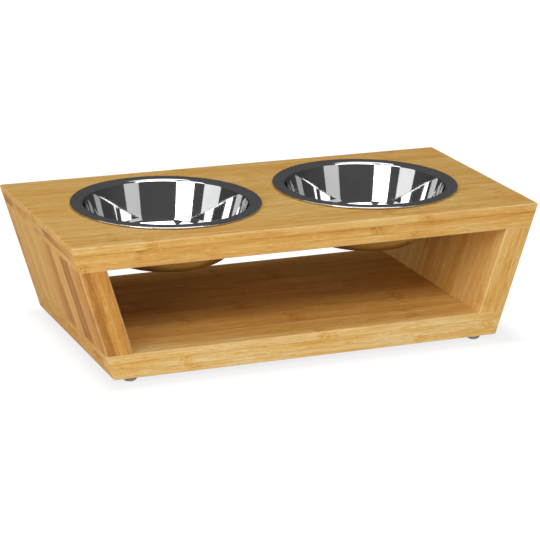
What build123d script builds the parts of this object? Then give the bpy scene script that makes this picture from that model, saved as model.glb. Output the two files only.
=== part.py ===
from build123d import *
import os
from math import cos, radians, sqrt, tan

# Elevated dog feeder with storage: a bamboo stand, longer at the top than at the floor, that
# holds two lift-out steel bowls over an open shelf.
# Millimetres, +Z up. The origin is on the floor under the middle of the stand, +X runs along
# the stand to its right end and -Y is its front.

# Bowl, pressed from one steel disc
bowl_body_radius = 67.3  # outside of the wall, level with the top face of the stand
bowl_depth = 46.5  # from the top face of the stand down to the underside of the bowl
wall_draft = 16.0  # degrees off upright
base_bend_radius = 25.0  # underside, between base and wall
flange_bend_radius = 2.5  # underside, between wall and flange
flange_width = 10.5  # from the wall out to the edge of the rim
steel_thickness = 0.6
roll_radius = 0.9  # outside of the rolled edge
roll_sweep = 240.0  # degrees that the edge is rolled under
rim_seat_gap = 0.3  # between the rolled edge and the board it sits on

# Stand, four laminated bamboo boards
bowl_clearance = 1.5  # around the bowl in its cut-out
rim_gap = 21.4  # between the rims of the two bowls
rim_end_margin = 33.7  # from a rim to the end of the top face
rim_side_margin = 20.2  # from a rim to the front or back of the top face
storage_height = 43.0  # from the shelf up to the underside of the bowls
top_thickness = 20.0
bottom_thickness = 20.0
side_thickness = 21.5  # square to the face of a side panel
side_lean = 17.25  # degrees off upright
edge_round = 1.2  # on every outer edge and round the storage bay
cutout_chamfer = 0.8  # on both edges of a cut-out

# Fluted dowels, glued into blind holes across the four corner joints
dowel_diameter = 8.0
dowel_length = 30.0
dowel_fit = 0.05  # around a dowel in its hole
dowel_end_gap = 1.0  # beyond each end of a dowel, for the glue
dowel_cover = 7.0  # wood left between a hole and the outer face of the board
dowel_edge_inset = 30.0  # from the front or back of the stand to the outer dowels
dowel_count = 3  # along each joint
dowel_chamfer = 1.0
flute_count = 12
flute_depth = 0.5

# Domed stick-on feet
foot_radius = 6.35
foot_height = 4.5
foot_flat_radius = 4.0  # the face that meets the floor
foot_band = 0.8  # upright edge under the board
foot_end_inset = 16.0  # from the end of the bottom board to the middle of a foot
foot_side_inset = 10.0  # from the front or back of the board to the middle of a foot

# Worked out from the sizes above
rim_radius = bowl_body_radius + flange_width
cutout_radius = bowl_body_radius + bowl_clearance
bowl_x = rim_gap / 2 + rim_radius
top_length = 2 * (bowl_x + rim_radius + rim_end_margin)
depth = 2 * (rim_radius + rim_side_margin)

shelf_z = foot_height + bottom_thickness
top_z = shelf_z + storage_height + bowl_depth
top_joint_z = top_z - top_thickness

lean_per_height = tan(radians(side_lean))
side_width = side_thickness / cos(radians(side_lean))  # along X

# Each corner joint: its height, its board's thickness, the way up or down to its board, its side
corner_joints = {
    "bottom_left": (shelf_z, bottom_thickness, -1, -1),
    "bottom_right": (shelf_z, bottom_thickness, -1, 1),
    "top_left": (top_joint_z, top_thickness, 1, -1),
    "top_right": (top_joint_z, top_thickness, 1, 1),
}


def half_length(z):
    """Half of the stand's length at the height z, over the outer faces of its side panels."""
    return top_length / 2 - (top_z - z) * lean_per_height


def canted_block(low, high, inset):
    """A block as deep as the stand, with ends that lie inset from the outer faces of the sides."""
    at_low = half_length(low) - inset
    at_high = half_length(high) - inset
    corners = [(-at_low, low), (at_low, low), (at_high, high), (-at_high, high)]
    outline = make_face(Polyline(*corners, close=True))
    return extrude(Plane.XZ * outline, depth / 2, both=True)


def glued_up_stand():
    """All four boards as one blank: they are rounded after they are glued, so the joints lie flush."""
    blank = canted_block(foot_height, top_z, 0) - canted_block(shelf_z, top_joint_z, side_width)
    ridges = blank.edges().filter_by(Axis.Y)
    bay_corners = ridges.filter_by_position(Axis.Z, shelf_z, top_joint_z)
    return fillet(blank.edges() - bay_corners, edge_round)


def dowel_places(joint_z, board_thickness, board_way, side):
    """The middles of a joint's upright dowels, centred in the leaning panel halfway down their holes."""
    in_board = board_thickness - dowel_cover - dowel_end_gap
    in_panel = dowel_length - in_board
    x = side * (half_length(joint_z - board_way * in_panel / 2) - side_width / 2)
    z = joint_z + board_way * (in_board - in_panel) / 2
    pitch = (depth - 2 * dowel_edge_inset) / (dowel_count - 1)
    return Pos(x, 0, z) * GridLocations(0, pitch, 1, dowel_count)


def dowel_holes():
    """The blind holes of all four joints, each in line through its board and its panel."""
    hole = Cylinder(dowel_diameter / 2 + dowel_fit, dowel_length + 2 * dowel_end_gap)
    return [place * hole for joint in corner_joints.values() for place in dowel_places(*joint)]


def fluted_dowel():
    """One dowel about the origin, with chamfered ends and flutes that let the glue out."""
    radius = dowel_diameter / 2
    pin = Cylinder(radius, dowel_length)
    pin = chamfer(pin.edges().filter_by(GeomType.CIRCLE), dowel_chamfer)
    flute = Rot(0, 0, 45) * Box(flute_depth * sqrt(2), flute_depth * sqrt(2), dowel_length)
    return pin - PolarLocations(radius, flute_count) * flute


def with_cutouts(board):
    """The top board with a round hole through it for each bowl, chamfered above and below."""
    board -= [Pos(x, 0, top_z) * Cylinder(cutout_radius, 3 * top_thickness) for x in (-bowl_x, bowl_x)]
    rings = board.edges().filter_by(GeomType.CIRCLE).group_by(SortBy.RADIUS)[-1]
    return chamfer(rings, cutout_chamfer)


def bowl():
    """One bowl on the Z axis: its food side as a line, thickened towards the stand and turned."""
    floor_z = top_z - bowl_depth + steel_thickness
    rim_z = top_z + rim_seat_gap + 2 * roll_radius
    draft = tan(radians(wall_draft))
    wall_radius = bowl_body_radius - steel_thickness / cos(radians(wall_draft))
    line = FilletPolyline(
        (0, floor_z),
        (wall_radius - (top_z - floor_z) * draft, floor_z),
        (wall_radius + (rim_z - top_z) * draft, rim_z),
        (rim_radius - roll_radius, rim_z),
        radius=[base_bend_radius - steel_thickness, flange_bend_radius + steel_thickness],
    )
    roll = CenterArc(
        (rim_radius - roll_radius, rim_z - roll_radius), roll_radius, 90, -roll_sweep
    )
    section = make_face(offset(Curve() + [line, roll], steel_thickness, side=Side.RIGHT))
    return revolve(Plane.XZ * section, Axis.Z)


def foot():
    """One foot on the Z axis: a dome under an upright band, flat where it meets the floor."""
    shoulder = (foot_radius, foot_height - foot_band)
    dome = TangentArc(shoulder, (foot_flat_radius, 0), tangent=(0, -1))
    rest = Polyline(dome @ 1, (0, 0), (0, foot_height), (foot_radius, foot_height), shoulder)
    section = make_face(Curve() + [dome, rest])
    return revolve(Plane.XZ * section, Axis.Z)


def feet():
    """The four feet, by name."""
    x = half_length(foot_height) - foot_end_inset
    y = depth / 2 - foot_side_inset
    return {
        f"{front}_{side}_foot": Pos(along, across, 0) * foot()
        for side, along in (("left", -x), ("right", x))
        for front, across in (("front", -y), ("back", y))
    }


def boards():
    """The four boards, by name: the rounded blank parted at its two pairs of joints."""
    stand = glued_up_stand()
    above_shelf = split(stand, Plane.XY.offset(shelf_z), keep=Keep.TOP)
    sides = split(above_shelf, Plane.XY.offset(top_joint_z), keep=Keep.BOTTOM)
    left_side, right_side = sides.solids().sort_by(Axis.X)
    top = split(stand, Plane.XY.offset(top_joint_z), keep=Keep.TOP)
    bottom = split(stand, Plane.XY.offset(shelf_z), keep=Keep.BOTTOM)
    whole = {
        "top_board": with_cutouts(top),
        "bottom_board": bottom,
        "left_side_panel": left_side,
        "right_side_panel": right_side,
    }
    holes = dowel_holes()
    return {name: board - holes for name, board in whole.items()}


def dowels():
    """The dowels of each corner joint, by name."""
    dowel = fluted_dowel()
    return {
        f"{name}_dowels": Compound([place * dowel for place in dowel_places(*joint)])
        for name, joint in corner_joints.items()
    }


bowls = {"left_bowl": Pos(-bowl_x, 0, 0) * bowl(), "right_bowl": Pos(bowl_x, 0, 0) * bowl()}

os.makedirs("parts", exist_ok=True)
for name, shape in (boards() | dowels() | feet() | bowls).items():
    export_step(shape, f"parts/{name}.step")
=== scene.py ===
# Elevated dog feeder with storage: a laminated bamboo stand, wider at the top than at the floor,
# with two lift-out bowls of polished steel over an open shelf, on four clear feet.
# Lengths are in metres in the part's own frame: +X right, -Y front, +Z up, the floor at z = 0.
from math import cos, pi, radians, sin, tan

import bpy
import numpy as np
from mathutils import Matrix, Vector


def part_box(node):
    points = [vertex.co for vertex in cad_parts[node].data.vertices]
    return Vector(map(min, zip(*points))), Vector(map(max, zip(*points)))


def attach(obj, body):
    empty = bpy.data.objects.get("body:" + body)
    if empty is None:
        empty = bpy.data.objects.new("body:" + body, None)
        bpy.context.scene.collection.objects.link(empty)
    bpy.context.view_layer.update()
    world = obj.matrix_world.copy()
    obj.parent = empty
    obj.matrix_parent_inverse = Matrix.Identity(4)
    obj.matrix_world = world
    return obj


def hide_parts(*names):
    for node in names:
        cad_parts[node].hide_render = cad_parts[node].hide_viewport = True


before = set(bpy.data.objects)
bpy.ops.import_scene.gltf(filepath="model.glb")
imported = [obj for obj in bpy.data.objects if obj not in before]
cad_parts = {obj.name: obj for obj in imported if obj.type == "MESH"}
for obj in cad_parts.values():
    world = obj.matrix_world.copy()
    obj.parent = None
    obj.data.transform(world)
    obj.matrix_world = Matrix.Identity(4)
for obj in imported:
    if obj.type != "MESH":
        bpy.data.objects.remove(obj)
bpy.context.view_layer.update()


# ---------------------------------------------------------------- Boards
# The four boards are pressed from bamboo strips, three layers deep, sawn, planed and lacquered in satin.
# The top and bottom boards have their grain along the stand and the side panels theirs up the slope.
# They are glued up first and rounded afterwards, so their faces run flush across the joints.


def new_sockets(group, sockets):
    """Adds sockets to a shader node group from rows of (name, way, kind, default)."""
    for name, way, kind, default in sockets:
        socket = group.interface.new_socket(name=name, in_out=way, socket_type=f"NodeSocket{kind}")
        if default is not None:
            socket.default_value = default


def node(tree, kind, *inputs, **settings):
    """Adds a shader node; inputs go to its sockets in order, a socket as a link and a number as a value."""
    made = tree.nodes.new(f"ShaderNode{kind}")
    for key, value in settings.items():
        setattr(made, key, value)
    for socket, value in zip(made.inputs, inputs):
        if value is None:
            continue
        if isinstance(value, bpy.types.NodeSocket):
            tree.links.new(value, socket)
        else:
            socket.default_value = value
    return made


def maths(tree, operation, *inputs):
    """The result of one Math node."""
    return node(tree, "Math", *inputs, operation=operation).outputs[0]


def plus(tree, first, second):
    """The sum of two sockets or numbers."""
    return maths(tree, "ADD", first, second)


def minus(tree, first, second):
    """The first socket or number less the second."""
    return maths(tree, "SUBTRACT", first, second)


def times(tree, first, second):
    """The product of two sockets or numbers."""
    return maths(tree, "MULTIPLY", first, second)


def bell(tree, distance, width):
    """1 on a line and 0 away from it: e to the power of minus (distance / width) squared."""
    ratio = maths(tree, "DIVIDE", distance, width)
    return maths(tree, "EXPONENT", times(tree, times(tree, ratio, ratio), -1.0))


def vector_maths(tree, operation, *inputs):
    """The vector that one Vector Math node gives."""
    return node(tree, "VectorMath", *inputs, operation=operation).outputs[0]


def noise(tree, spot, detail, roughness, scale=1.0):
    """Noise in three dimensions, from 0 to 1 and mostly near 0.5."""
    fourth_dimension = None
    sockets = (spot, fourth_dimension, scale, detail, roughness)
    return node(tree, "TexNoise", *sockets, noise_dimensions="3D").outputs[0]


def drawn_lot(tree, strip, layer, seed):
    """Random numbers that are the same all over one strip of one layer: one, and three as a colour."""
    key = node(tree, "CombineXYZ", strip, layer, seed).outputs[0]
    return node(tree, "TexWhiteNoise", key, noise_dimensions="3D").outputs


def mixed(tree, factor, under, over, blend="MIX"):
    """One colour laid over another."""
    made = tree.nodes.new("ShaderNodeMix")
    made.data_type = "RGBA"
    made.blend_type = blend
    for socket, value in zip((made.inputs[0], made.inputs[6], made.inputs[7]), (factor, under, over)):
        if isinstance(value, bpy.types.NodeSocket):
            tree.links.new(value, socket)
        else:
            socket.default_value = value
    return made.outputs[2]


def ramp(tree, factor, stops):
    """A colour ramp over (place, colour) stops."""
    made = node(tree, "ValToRGB", factor)
    band = made.color_ramp
    while len(band.elements) < len(stops):
        band.elements.new(0.5)
    for element, (place, colour) in zip(band.elements, stops):
        element.position = place
        element.color = (*colour, 1.0)
    return made.outputs[0]


def laminated_bamboo_group():
    """Bamboo as a solid: board coordinates (along the grain, across the strips, through the layers) in
    metres go in, and the colour, roughness and height of the sawn and lacquered surface come out."""
    group = bpy.data.node_groups.new("laminated_bamboo", "ShaderNodeTree")
    new_sockets(group, [
        ("Vector", "INPUT", "Vector", None),
        ("Layer Thickness", "INPUT", "Float", 0.0069),
        ("Tone", "INPUT", "Float", 0.3),
        ("Strip Contrast", "INPUT", "Float", 0.6),
        ("Seed", "INPUT", "Float", 0.0),
        ("Layer Seed Step", "INPUT", "Float", 1.0),
        ("Knuckle Seed", "INPUT", "Float", 0.0),
        ("Painted Bounce Warmth", "INPUT", "Float", 0.0),
        ("Painted Edge Highlight", "INPUT", "Float", 0.0),
        ("Color", "OUTPUT", "Color", None),
        ("Roughness", "OUTPUT", "Float", None),
        ("Height", "OUTPUT", "Float", None),
    ])
    given = group.nodes.new("NodeGroupInput").outputs
    place = node(group, "SeparateXYZ", given["Vector"]).outputs
    along, across, through = place[0], place[1], place[2]

    # Which strip and layer a point lies in, and where in it
    strip_width = 0.022
    layer_stagger = 0.37  # of a strip's width, from each layer to the next
    noise_shift = (9.0, 9.0, 9.0)  # the furthest that a strip's fibres are moved along the noise
    layers = maths(group, "DIVIDE", through, given["Layer Thickness"])
    layer = maths(group, "FLOOR", layers)
    in_layer = maths(group, "FRACT", layers)
    strips = plus(group, maths(group, "DIVIDE", across, strip_width), times(group, layer, layer_stagger))
    strip = maths(group, "FLOOR", strips)
    in_strip = maths(group, "FRACT", strips)
    seed = plus(group, given["Seed"], times(group, layer, given["Layer Seed Step"]))
    culm_tone, culm = drawn_lot(group, strip, layer, seed)
    skin_up = maths(group, "GREATER_THAN", node(group, "SeparateColor", culm).outputs[2], 0.5)
    shift = vector_maths(group, "MULTIPLY", culm, noise_shift)

    # Knuckles: where a strip crosses a joint of its culm, about 0.25 m apart, it has a mottled brown block
    shortest_pitch = 0.19
    pitch_spread = 0.1
    joint_bow = 0.003  # how far a joint bows along the grain over a strip's width
    joint_wander = 0.012
    joint_share = 0.75  # of the strips; the others have none
    knuckle_width = 0.0058
    ring_width = 0.0022
    ring_place = 0.0085  # the pale ring lies this far before a knuckle
    joint = drawn_lot(group, strip, layer, given["Knuckle Seed"])[1]
    joint = node(group, "SeparateColor", joint).outputs
    pitch = plus(group, shortest_pitch, times(group, joint[1], pitch_spread))
    mottle = vector_maths(group, "MULTIPLY", given["Vector"], (260.0, 420.0, 420.0))
    mottle = noise(group, mottle, 1.0, 0.5)
    cells = minus(group, maths(group, "DIVIDE", along, pitch), joint[0])
    from_joint = times(group, minus(group, maths(group, "FRACT", cells), 0.5), pitch)
    arch = minus(group, in_strip, 0.5)
    arch = times(group, times(group, arch, arch), 4 * joint_bow)
    uneven = times(group, minus(group, mottle, 0.5), joint_wander)
    from_joint = plus(group, from_joint, plus(group, arch, uneven))
    has_joint = maths(group, "LESS_THAN", joint[2], joint_share)
    strength = times(group, has_joint, minus(group, 1.0, times(group, joint[2], 0.8)))
    knuckle = times(group, bell(group, from_joint, knuckle_width), strength)
    knuckle = times(group, knuckle, plus(group, 0.4, times(group, mottle, 1.2)))
    specks = vector_maths(group, "MULTIPLY", given["Vector"], (420.0, 1100.0, 1100.0))
    specks = noise(group, specks, 1.0, 0.5)
    specks = node(group, "MapRange", specks, 0.42, 0.62, 0.25, 1.9).outputs[0]
    knuckle = times(group, knuckle, specks)
    ring = times(group, bell(group, plus(group, from_joint, ring_place), ring_width), strength)

    # Fibres: noise drawn out along the grain, started afresh in every strip and pushed aside at a knuckle
    swirl_width = 0.009
    swirl_push = 0.0022
    aside = times(group, bell(group, from_joint, swirl_width), times(group, strength, swirl_push))
    aside = times(group, aside, minus(group, mottle, 0.5))
    bent = (along, plus(group, across, aside), plus(group, through, aside))
    bent = node(group, "CombineXYZ", *bent).outputs[0]
    stretches = {
        "cloud": (9.0, 70.0, 90.0),
        "streak": (14.0, 210.0, 60.0),
        "vein": (17.0, 480.0, 480.0),
        "fibre": (60.0, 1500.0, 1500.0),
        "fleck": (130.0, 900.0, 900.0),
    }
    grain = {}
    for name, stretch in stretches.items():
        spread = vector_maths(group, "MULTIPLY", bent, stretch)
        spread = vector_maths(group, "ADD", spread, shift)
        grain[name] = minus(group, noise(group, spread, 2.0, 0.55), 0.5)
    faintest_fleck = 0.09
    fleck = minus(group, maths(group, "ABSOLUTE", grain["fleck"]), faintest_fleck)
    fleck = maths(group, "MAXIMUM", fleck, 0.0)
    fleck = times(group, fleck, maths(group, "SIGN", grain["fleck"]))

    # Tone: most strips are alike, a few are brown or pale, and each darkens to the skin side of its culm
    brown_above = 0.8
    pale_below = 0.18
    palest = 0.1
    brown = maths(group, "MAXIMUM", minus(group, culm_tone, brown_above), 0.0)
    pale = maths(group, "MAXIMUM", minus(group, pale_below, culm_tone), 0.0)
    pale = maths(group, "MINIMUM", pale, palest)
    odd = minus(group, times(group, brown, 3.2), times(group, pale, 3.0))
    odd = plus(group, odd, times(group, culm_tone, 0.1))
    odd = times(group, odd, given["Strip Contrast"])
    skin = minus(group, 1.0, maths(group, "ABSOLUTE", minus(group, in_layer, skin_up)))
    skin_depth = plus(group, 0.07, times(group, culm_tone, 0.2))
    skin = times(group, times(group, skin, skin), skin_depth)
    tone = plus(group, given["Tone"], skin)
    weights = (
        (odd, 1.0), (grain["cloud"], 0.5), (grain["streak"], 0.5), (grain["vein"], 0.52),
        (grain["fibre"], 0.65), (fleck, 2.0), (knuckle, 0.23), (ring, -0.07),
    )
    for part, weight in weights:
        tone = plus(group, tone, times(group, part, weight))
    colour = ramp(group, tone, [
        (0.0, (0.79, 0.60, 0.32)),
        (0.2, (0.745, 0.49, 0.175)),
        (0.42, (0.69, 0.385, 0.098)),
        (0.7, (0.595, 0.28, 0.063)),
        (1.0, (0.41, 0.168, 0.036)),
    ])

    # A warmer upper face where a board has one, which is painted warm bounce light, and a painted highlight
    # along the long edges, laid on as paler bamboo
    painted_bounce_tint = (1.08, 0.99, 0.86, 1.0)
    painted_highlight_bamboo = (0.86, 0.69, 0.42, 1.0)
    painted_highlight_share = 0.28
    uppermost_layer = 2.0  # the lowest is 0
    face_only = 6.0  # the higher this power, the thinner the warm skin
    painted_bounce_face = maths(group, "GREATER_THAN", layers, uppermost_layer)
    painted_bounce_face = times(group, painted_bounce_face, maths(group, "POWER", in_layer, face_only))
    painted_warmth = times(group, painted_bounce_face, given["Painted Bounce Warmth"])
    painted_warmth = times(group, painted_warmth, minus(group, 1.0, given["Painted Edge Highlight"]))
    colour = mixed(group, painted_warmth, colour, painted_bounce_tint, "MULTIPLY")
    colour = mixed(group, times(group, given["Painted Edge Highlight"], painted_highlight_share), colour, painted_highlight_bamboo)

    # Glue lines between strips and between layers
    glue_width = 0.0002
    glue_brown = (0.25, 0.115, 0.04, 1.0)
    glue_share = 0.3
    gaps = []
    for part, size in ((in_strip, strip_width), (in_layer, given["Layer Thickness"])):
        middle = maths(group, "ABSOLUTE", minus(group, part, 0.5))
        gaps.append(times(group, minus(group, 0.5, middle), size))
    seam = bell(group, maths(group, "MINIMUM", *gaps), glue_width)
    colour = mixed(group, times(group, seam, glue_share), colour, glue_brown)

    # The lacquer is duller on the fibres and knuckles, and the surface sinks a little at the glue lines
    rough = plus(group, 0.47, times(group, grain["fibre"], 0.25))
    rough = plus(group, rough, times(group, knuckle, 0.08))
    height = plus(group, grain["fibre"], times(group, grain["vein"], 0.5))
    height = minus(group, height, times(group, seam, 0.5))
    result = group.nodes.new("NodeGroupOutput")
    for name, value in (("Color", colour), ("Roughness", rough), ("Height", height)):
        group.links.new(value, result.inputs[name])
    return group


def plain_material(name):
    """A new material, its node tree and its Principled shader."""
    material = bpy.data.materials.new(name)
    material.use_nodes = True
    return material, material.node_tree, material.node_tree.nodes["Principled BSDF"]


def raise_surface(tree, shader, height, strength):
    """Lifts a surface where height is large, by a tenth of a millimetre at strength 1."""
    full_height = 0.0001
    relief = node(tree, "Bump", strength, full_height)
    tree.links.new(height, relief.inputs["Height"])
    tree.links.new(relief.outputs[0], shader.inputs["Normal"])


laminated_bamboo = laminated_bamboo_group()
planed = 0.0003  # taken off each face of a board, so that no face lies in a glue line
edge_highlight_width = 0.0012
top_low, top_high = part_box("top_board")
bottom_low, bottom_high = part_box("bottom_board")
half_depth = bottom_high.y


def bamboo(name, turn, shift, layer_thickness, tone, contrast, seeds, painted_warmth=0.0):
    """Lacquered bamboo for one board. Turn and shift carry the part's coordinates to the board's own. The
    seeds are its lowest layer's, the step from one layer to the next, and its knuckles'."""
    material, tree, shader = plain_material(name)
    spot = node(tree, "TexCoord").outputs["Object"]
    spot = node(tree, "Mapping", spot, shift, turn).outputs[0]
    wood = tree.nodes.new("ShaderNodeGroup")
    wood.node_tree = laminated_bamboo
    tree.links.new(spot, wood.inputs["Vector"])
    for socket, value in zip(wood.inputs[1:], (layer_thickness, tone, contrast, *seeds, painted_warmth)):
        socket.default_value = value

    # A painted highlight along the long edges between a board's faces and its front or back, laid on as
    # paler bamboo
    half_thickness = 1.5 * layer_thickness
    place = node(tree, "SeparateXYZ", spot).outputs
    from_side = maths(tree, "ABSOLUTE", minus(tree, place[1], shift[1]))
    from_side = minus(tree, from_side, half_depth)
    from_face = maths(tree, "ABSOLUTE", minus(tree, place[2], half_thickness))
    from_face = minus(tree, from_face, half_thickness - planed)
    painted_edge_highlight = times(tree, bell(tree, from_side, edge_highlight_width), bell(tree, from_face, edge_highlight_width))
    tree.links.new(painted_edge_highlight, wood.inputs["Painted Edge Highlight"])

    tree.links.new(wood.outputs["Color"], shader.inputs["Base Color"])
    tree.links.new(wood.outputs["Roughness"], shader.inputs["Roughness"])
    raise_surface(tree, shader, wood.outputs["Height"], 0.3)
    shader.inputs["Specular IOR Level"].default_value = 0.0
    shader.inputs["Coat Weight"].default_value = 0.15
    shader.inputs["Coat Roughness"].default_value = 0.3
    return material


def dress(name, material):
    """Gives a piece of the frame one material all over."""
    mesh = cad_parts[name].data
    mesh.materials.clear()
    mesh.materials.append(material)


board_layer = (top_high.z - top_low.z + 2 * planed) / 3
board_strip_shift = 0.00686  # sets where the strips' sides fall between the front and the back
dress("top_board", bamboo(
    "top_board_bamboo", (0, 0, 0), (0, board_strip_shift, planed - top_low.z), board_layer,
    tone=0.33, contrast=0.85, seeds=(12027002.0, -4429736.0, 3789718.0)))
dress("bottom_board", bamboo(
    "bottom_board_bamboo", (0, 0, 0), (0, board_strip_shift, planed - bottom_low.z), board_layer,
    tone=0.36, contrast=0.5, seeds=(-12948112.0, 13167447.0, 6974290.0)))

lean = radians(17.25)
panel_thickness = 0.0215
panel_layer = (panel_thickness + 2 * planed) / 3
panel_strip_shift = 0.00672
foot_line = -bottom_low.x - bottom_high.z * tan(lean)  # a panel's outside, carried down to z = 0
panel_face = foot_line * cos(lean)  # how far the plane of that outside lies from the stand's middle
left_shift = (0, panel_strip_shift, panel_thickness + planed - panel_face)
right_shift = (0, panel_strip_shift, panel_face + planed)
dress("left_side_panel", bamboo(
    "left_panel_bamboo", (0, pi / 2 + lean, 0), left_shift, panel_layer,
    tone=0.34, contrast=1.3, seeds=(-11811517.0, 11811596.0, 977096.0)))
# The right panel's warmth is painted warm bounce light on its inside, the face towards the bay
dress("right_side_panel", bamboo(
    "right_panel_bamboo", (0, pi / 2 - lean, 0), right_shift, panel_layer,
    tone=0.28, contrast=0.4, seeds=(-22063.0, 22547.0, 67234.0), painted_warmth=1.2))


# ---------------------------------------------------------------- Dowels
# Twelve fluted beech pins, three to a corner, glued into blind holes across the joints between the
# boards and the panels. They are out of sight.


def beech():
    """Bare beech with short dark flecks along the dowels."""
    material, tree, shader = plain_material("dowel_beech")
    spot = node(tree, "TexCoord").outputs["Object"]
    fleck = vector_maths(tree, "MULTIPLY", spot, (1400.0, 1400.0, 120.0))
    fleck = noise(tree, fleck, 3.0, 0.6)
    colour = ramp(tree, fleck, [(0.35, (0.55, 0.36, 0.19)), (0.6, (0.72, 0.52, 0.31))])
    tree.links.new(colour, shader.inputs["Base Color"])
    raise_surface(tree, shader, fleck, 0.3)
    shader.inputs["Roughness"].default_value = 0.7
    return material


dowel_beech = beech()
for corner in ("top_left", "top_right", "bottom_left", "bottom_right"):
    dress(f"{corner}_dowels", dowel_beech)


# ---------------------------------------------------------------- Bowls
# Each bowl is pressed from one disc of 0.6 mm steel: a flat base, a wide bend, a wall that leans out,
# a flat flange and an edge rolled under. It is polished bright inside and out and lies in its cut-out.


def straight(start, end, count):
    """Rows of (radius, height, normal's radius part, normal's height part) along a straight run, with
    the normal to the left of the way from start to end."""
    start, end = np.array(start), np.array(end)
    way = (end - start) / np.linalg.norm(end - start)
    share = np.linspace(0, 1, count)[:, None]
    return np.hstack([start + share * (end - start), np.tile((-way[1], way[0]), (count, 1))])


def bend(centre, radius, first, last, count):
    """The same rows round a bend: centre plus radius times (cos a, sin a), a running from first to
    last. The normal is to the left of the way, so it points inwards where a grows."""
    angle = np.linspace(first, last, count)
    out = np.column_stack([np.cos(angle), np.sin(angle)])
    return np.hstack([np.array(centre) + radius * out, -np.sign(last - first) * out])


def carried_round(rows, turns):
    """Rows of (outward part, upward part) carried round the upright axis through the origin: row i and
    turn j give (outward_i cos a_j, outward_i sin a_j, upward_i), with a_j = 2 pi j / turns."""
    angle = np.arange(turns) * 2 * pi / turns
    ring = np.stack([np.cos(angle), np.sin(angle)], 1)
    level = rows[:, None, :1] * ring
    upright = np.broadcast_to(rows[:, None, 1:], (len(rows), turns, 1))
    return np.concatenate([level, upright], 2).reshape(-1, 3)


def turned(name, rows, x, y, turns):
    """A closed turned surface: row i and turn j give the point (x + r_i cos a_j, y + r_i sin a_j, z_i),
    with a_j = 2 pi j / turns, and its normal is turned the same way. The first and last rows are poles."""
    inner = rows[1:-1]
    poles = [(0, 0, rows[0, 1]), (0, 0, rows[-1, 1])]
    pole_normals = [(0, 0, rows[0, 3]), (0, 0, rows[-1, 3])]
    points = np.vstack([carried_round(inner[:, :2], turns), poles]) + (x, y, 0)
    normals = np.vstack([carried_round(inner[:, 2:], turns), pole_normals])
    here = np.arange(turns)
    after = (here + 1) % turns
    low = (np.arange(len(inner) - 1) * turns)[:, None]
    quads = np.stack([low + here, low + turns + here, low + turns + after, low + after], 2).reshape(-1, 4)
    first_pole = len(inner) * turns
    end_ring = first_pole - turns
    caps = np.vstack([
        np.column_stack([np.full(turns, first_pole), here, after]),
        np.column_stack([np.full(turns, first_pole + 1), end_ring + after, end_ring + here]),
    ])
    mesh = bpy.data.meshes.new(name)
    mesh.from_pydata(points.tolist(), [], quads.tolist() + caps.tolist())
    mesh.shade_smooth()
    mesh.normals_split_custom_set_from_vertices(normals.tolist())
    piece = bpy.data.objects.new(name, mesh)
    bpy.context.scene.collection.objects.link(piece)
    return piece


steel_thickness = 0.0006
body_radius = 0.0673  # outside of the wall, level with the top face of the stand
bowl_depth = 0.0465
flange_width = 0.0105
draft = radians(16)
base_bend = 0.025 - steel_thickness
flange_bend = 0.0025 + steel_thickness
roll = 0.0009
roll_turn = radians(240)
rim_seat_gap = 0.0003


def bowl_rows():
    """A bowl's section: its food side from the middle out to the end of the roll, then back along the
    same line moved one thickness against its normal."""
    low = top_high.z - bowl_depth + steel_thickness
    high = top_high.z + rim_seat_gap + 2 * roll
    wall = body_radius - steel_thickness / cos(draft)
    low_corner = wall - (top_high.z - low) * tan(draft)
    high_corner = wall + (high - top_high.z) * tan(draft)
    turn = pi / 2 - draft
    low_cut = base_bend * tan(turn / 2)
    high_cut = flange_bend * tan(turn / 2)
    base_end = low_corner - low_cut
    wall_start = (low_corner + low_cut * sin(draft), low + low_cut * cos(draft))
    wall_end = (high_corner - high_cut * sin(draft), high - high_cut * cos(draft))
    flange_start = high_corner + high_cut
    edge = body_radius + flange_width - roll
    food_side = np.vstack([
        straight((0, low), (base_end, low), 14)[:-1],
        bend((base_end, low + base_bend), base_bend, -pi / 2, -draft, 40),
        straight(wall_start, wall_end, 14)[1:-1],
        bend((flange_start, high - flange_bend), flange_bend, pi - draft, pi / 2, 16),
        straight((flange_start, high), (edge, high), 8)[1:-1],
        bend((edge, high - roll), roll, pi / 2, pi / 2 - roll_turn, 22),
    ])
    under_side = food_side[::-1] * (1, 1, -1, -1)
    under_side[:, :2] += steel_thickness * under_side[:, 2:]
    return np.vstack([food_side, under_side])


def polished_steel():
    """Bright pressed steel with the faint wipe marks and fine grit of polishing."""
    material, tree, shader = plain_material("polished_steel")
    shader.inputs["Metallic"].default_value = 1.0
    spot = node(tree, "TexCoord").outputs["Object"]
    wipes = vector_maths(tree, "MULTIPLY", spot, (24.0, 90.0, 40.0))
    wipes = noise(tree, wipes, 4.0, 0.6)
    colour = ramp(tree, wipes, [(0.3, (0.60, 0.605, 0.61)), (0.7, (0.68, 0.68, 0.68))])
    tree.links.new(colour, shader.inputs["Base Color"])
    tree.links.new(plus(tree, 0.02, times(tree, wipes, 0.05)), shader.inputs["Roughness"])
    grit = vector_maths(tree, "MULTIPLY", spot, (220.0, 220.0, 900.0))
    raise_surface(tree, shader, noise(tree, grit, 2.0, 0.5), 0.05)
    return material


bowl_polish = polished_steel()
bowl_turns = 256
for side in ("left", "right"):
    low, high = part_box(f"{side}_bowl")
    x, y = (low.x + high.x) / 2, (low.y + high.y) / 2
    bowl = turned(f"{side}_bowl_pressing", bowl_rows(), x, y, bowl_turns)
    bowl.data.materials.append(bowl_polish)
    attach(bowl, f"{side}_bowl")
    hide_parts(f"{side}_bowl")


# ---------------------------------------------------------------- Feet
# Four bumpers of clear silicone, each a low dome with a flat tread. They come with an adhesive back and
# are stuck on flat under the corners of the bottom board.

foot_radius = 0.00635
foot_flat_radius = 0.004
foot_band = 0.0008


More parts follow.
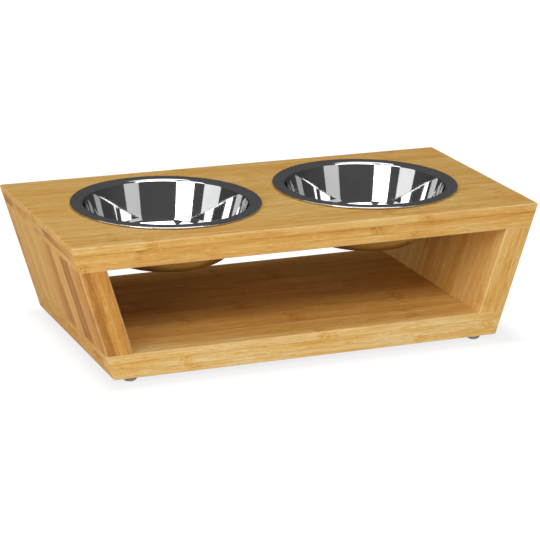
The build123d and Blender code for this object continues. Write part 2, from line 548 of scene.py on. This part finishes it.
def foot_rows(height):
    """A foot's section from the middle of its glued face: out, down the upright band, round the dome,
    which meets the band smoothly, to the flat that touches the floor, and back to the middle."""
    rise = height - foot_band
    width = foot_radius - foot_flat_radius
    round_radius = (width * width + rise * rise) / (2 * width)
    lowest = -np.arcsin(rise / round_radius)
    return np.vstack([
        straight((0, height), (foot_radius, height), 6),
        straight((foot_radius, height), (foot_radius, rise), 4)[1:],
        bend((foot_radius - round_radius, rise), round_radius, 0.0, lowest, 24)[1:],
        straight((foot_flat_radius, 0), (0, 0), 6)[1:],
    ])


def clear_silicone():
    """Soft clear silicone, slightly warm and cloudy: it lets light through and has a slight sheen."""
    material, tree, shader = plain_material("clear_silicone")
    spot = node(tree, "TexCoord").outputs["Object"]
    haze = noise(tree, spot, 2.0, 0.5, scale=900.0)
    colour = ramp(tree, haze, [(0.3, (0.76, 0.70, 0.60)), (0.7, (0.88, 0.84, 0.76))])
    tree.links.new(colour, shader.inputs["Base Color"])
    tree.links.new(plus(tree, 0.16, times(tree, haze, 0.12)), shader.inputs["Roughness"])
    shader.inputs["Transmission Weight"].default_value = 0.75
    shader.inputs["IOR"].default_value = 1.41
    return material


silicone = clear_silicone()
foot_turns = 96
for end in ("front", "back"):
    for side in ("left", "right"):
        low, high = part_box(f"{end}_{side}_foot")
        x, y = (low.x + high.x) / 2, (low.y + high.y) / 2
        foot = turned(f"{end}_{side}_bumper", foot_rows(high.z), x, y, foot_turns)
        foot.data.materials.append(silicone)
        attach(foot, "stand")
        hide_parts(f"{end}_{side}_foot")


# ---------------------------------------------------------------- Floor, light and camera
# A white studio table in a dim room with a white backdrop. The main soft light hangs in front and above,
# three more stand on the left, a weak one on the right, and one hangs overhead.

table_half = 6.0
shade_shift = (0.007, -0.004, 0.0)  # the soft shade lies a little to the right and the front
shade_width = 0.016
shade_reach = 0.1
level_under_stand = 0.81
level_close_by = 0.94
level_far_off = 1.0


def white_table():
    """A plain white floor that keeps the shadows and shows as white to the camera and in the steel. A
    soft shade is darkest under the stand and thins out away from the bottom board's outline."""
    mesh = bpy.data.meshes.new("studio_table")
    low, high = -table_half, table_half
    mesh.from_pydata([(low, low, 0), (high, low, 0), (high, high, 0), (low, high, 0)], [], [(0, 1, 2, 3)])
    table = bpy.data.objects.new("studio_table", mesh)
    bpy.context.scene.collection.objects.link(table)
    material, tree, shader = plain_material("white_table")
    shader.inputs["Roughness"].default_value = 0.9
    shader.inputs["Specular IOR Level"].default_value = 0.0
    path = node(tree, "LightPath").outputs
    seen = maths(tree, "MAXIMUM", path["Is Glossy Ray"], path["Is Transmission Ray"])
    seen = maths(tree, "MAXIMUM", path["Is Camera Ray"], seen)
    white_to_lamps = (0.88, 0.88, 0.88, 1.0)
    grey_when_seen = (0.12, 0.12, 0.12, 1.0)  # the glow below makes up the rest of the white
    paint = mixed(tree, seen, white_to_lamps, grey_when_seen)
    tree.links.new(paint, shader.inputs["Base Color"])
    spot = node(tree, "TexCoord").outputs["Object"]
    spot = vector_maths(tree, "ABSOLUTE", vector_maths(tree, "SUBTRACT", spot, shade_shift))
    spot = vector_maths(tree, "SUBTRACT", spot, (bottom_high.x, bottom_high.y, 0.0))
    spot = vector_maths(tree, "MAXIMUM", spot, (0.0, 0.0, 0.0))
    away = node(tree, "VectorMath", spot, operation="LENGTH").outputs["Value"]
    near = node(tree, "MapRange", away, 0.0, shade_width, level_under_stand, level_close_by).outputs[0]
    rest = level_far_off - level_close_by
    beyond = node(tree, "MapRange", away, shade_width, shade_reach, 0.0, rest).outputs[0]
    level = plus(tree, near, beyond)
    glow = node(tree, "Emission", (1.0, 1.0, 1.0, 1.0), times(tree, seen, level)).outputs[0]
    both = node(tree, "AddShader", shader.outputs[0], glow).outputs[0]
    tree.links.new(both, tree.nodes["Material Output"].inputs["Surface"])
    mesh.materials.append(material)
    return table


white_table()


def soft_light(name, place, aim, width, height, power):
    """A rectangular soft light at place, turned towards aim."""
    lamp = bpy.data.lights.new(name, "AREA")
    lamp.shape = "RECTANGLE"
    lamp.size = width
    lamp.size_y = height
    lamp.energy = power
    light = bpy.data.objects.new(name, lamp)
    light.location = place
    light.rotation_euler = (Vector(aim) - Vector(place)).to_track_quat("-Z", "Y").to_euler()
    bpy.context.scene.collection.objects.link(light)


soft_light("key_light", (-0.16, -1.81, 1.91), (0, 0, 0.06), 2.4, 0.8, 30.5)
soft_light("left_high_light", (-1.75, -0.75, 1.75), (0, 0, 0.08), 1.2, 0.9, 10.0)
soft_light("left_front_light", (-1.7, -1.43, 0.65), (0, 0, 0.1), 1.0, 1.1, 14.0)
soft_light("left_low_light", (-2.1, 0.05, 0.6), (0, 0, 0.1), 1.0, 1.1, 4.0)
soft_light("right_light", (1.1, -1.9, 0.6), (0, 0, 0.1), 0.9, 1.0, 2.0)
soft_light("top_light", (0.1, 0.1, 2.3), (0, 0, 0.1), 1.4, 1.2, 12.5)

world = bpy.data.worlds.new("dim_room")
world.use_nodes = True
room = world.node_tree
direction = node(room, "TexCoord").outputs["Generated"]
height = node(room, "SeparateXYZ", direction).outputs[2]
walls = ramp(room, height, [(0.0, (0.05, 0.05, 0.05)), (0.3, (0.1, 0.1, 0.1)), (0.9, (0.11, 0.11, 0.11))])
path = node(room, "LightPath").outputs
seen = maths(room, "MAXIMUM", path["Is Camera Ray"], path["Is Transmission Ray"])
backdrop = mixed(room, seen, walls, (1.0, 1.0, 1.0, 1.0))
room.links.new(backdrop, room.nodes["Background"].inputs["Color"])
bpy.context.scene.world = world
bpy.context.scene.view_settings.view_transform = "Standard"

camera_azimuth = radians(-22.75)
camera_elevation = radians(17.38)
camera_roll = radians(1.064)
camera_distance = 1.891
camera_aim = Vector((0.0038, 0.0, 0.0477))
back = Vector((
    sin(camera_azimuth) * cos(camera_elevation),
    -cos(camera_azimuth) * cos(camera_elevation),
    sin(camera_elevation),
))
level_right = Vector((0, 0, 1)).cross(back).normalized()
level_up = back.cross(level_right)
right = cos(camera_roll) * level_right + sin(camera_roll) * level_up
up = cos(camera_roll) * level_up - sin(camera_roll) * level_right
camera = bpy.data.objects.new("camera", bpy.data.cameras.new("camera"))
facing = Matrix((right, up, back)).transposed().to_4x4()
camera.matrix_world = Matrix.Translation(camera_aim + camera_distance * back) @ facing
camera.data.lens = 151.41
camera.data.sensor_width = 36.0
bpy.context.scene.collection.objects.link(camera)
bpy.context.scene.camera = camera
